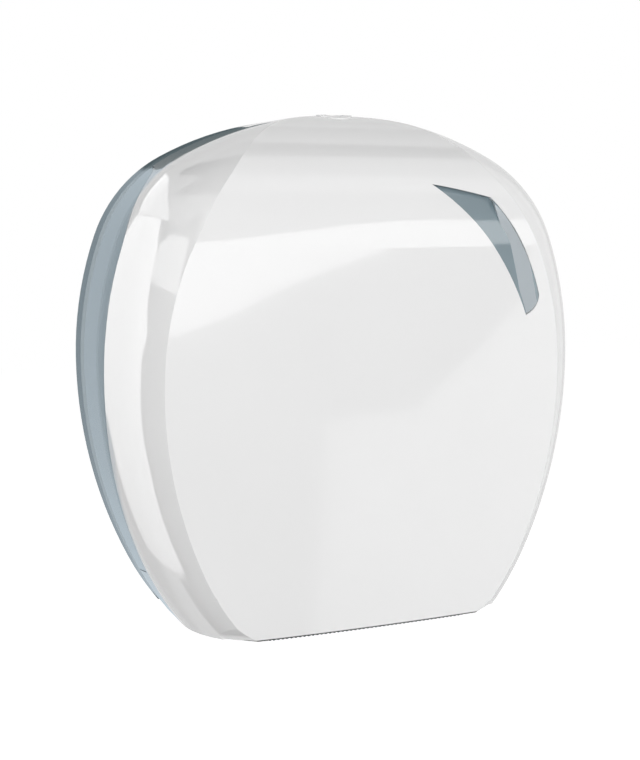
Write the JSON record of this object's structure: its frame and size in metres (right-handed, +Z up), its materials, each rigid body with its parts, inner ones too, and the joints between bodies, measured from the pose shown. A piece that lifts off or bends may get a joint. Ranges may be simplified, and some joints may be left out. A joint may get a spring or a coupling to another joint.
{
  "type": "jumbo toilet roll dispenser",
  "caption": "Wall-mounted dispenser for a large toilet roll: rounded gloss cover hinged at its foot, crown lock, smoked windows, turning core hub.",
  "frame": {"origin": "on the wall plane, on the roll spindle's axis, at the centre of the four wall holes", "axes": "+Y into the wall, +Z up, +X to the right seen from the front"},
  "size_m": [0.338, 0.13, 0.3416],
  "materials": {
    "white_cover": "moulded plastic, high gloss",
    "white_lock": "moulded plastic, gloss",
    "smoke_base": "translucent smoke-blue, gloss",
    "smoke_window": "translucent smoke-blue, gloss",
    "smoke_lens": "translucent smoke-blue, gloss",
    "grey_plastic": "satin",
    "blue_plastic": "satin",
    "grey_lock": "satin",
    "tear_plastic": "translucent smoke-blue",
    "zinc_steel": null,
    "spring_steel": null,
    "felt": null
  },
  "bodies": {
    "base": {"rear_base": "smoke_base", "side_window_left": "smoke_window", "side_window_right": "smoke_window", "lock_keeper": "zinc_steel", "keeper_screws": "zinc_steel", "spindle_post": "grey_plastic", "spindle_screws": "zinc_steel", "drag_washer": "felt", "end_washer": "zinc_steel", "end_screw": "zinc_steel", "hinge_pin_left": "zinc_steel", "hinge_pin_right": "zinc_steel", "pin_clips": "spring_steel"},
    "cover": {"front_cover": "white_cover", "level_window": "smoke_lens", "lock_escutcheon": "white_lock", "lock_sleeve": "zinc_steel", "lock_nut": "zinc_steel", "tear_bar": "tear_plastic", "tear_bar_screws": "zinc_steel"},
    "lock": {"lock_barrel": "grey_lock", "lock_cam": "zinc_steel", "cam_screw": "zinc_steel"},
    "hub": {"core_hub": "blue_plastic", "core_adapter": "grey_plastic"}
  },
  "joints": [
    {"name": "cover_hinge", "type": "hinge", "parent": "base", "child": "cover", "pos_m": [0, -0.015, -0.165], "axis": [1, 0, 0], "range_deg": [0, 90]},
    {"name": "lock_turn", "type": "hinge", "parent": "cover", "child": "lock", "pos_m": [0, -0.058, 0.155], "axis": [0, 0, 1], "range_deg": [0, 90]},
    {"name": "hub_spin", "type": "hinge", "parent": "base", "child": "hub", "pos_m": [0, -0.06, 0], "axis": [0, 1, 0], "continuous": true}
  ]
}
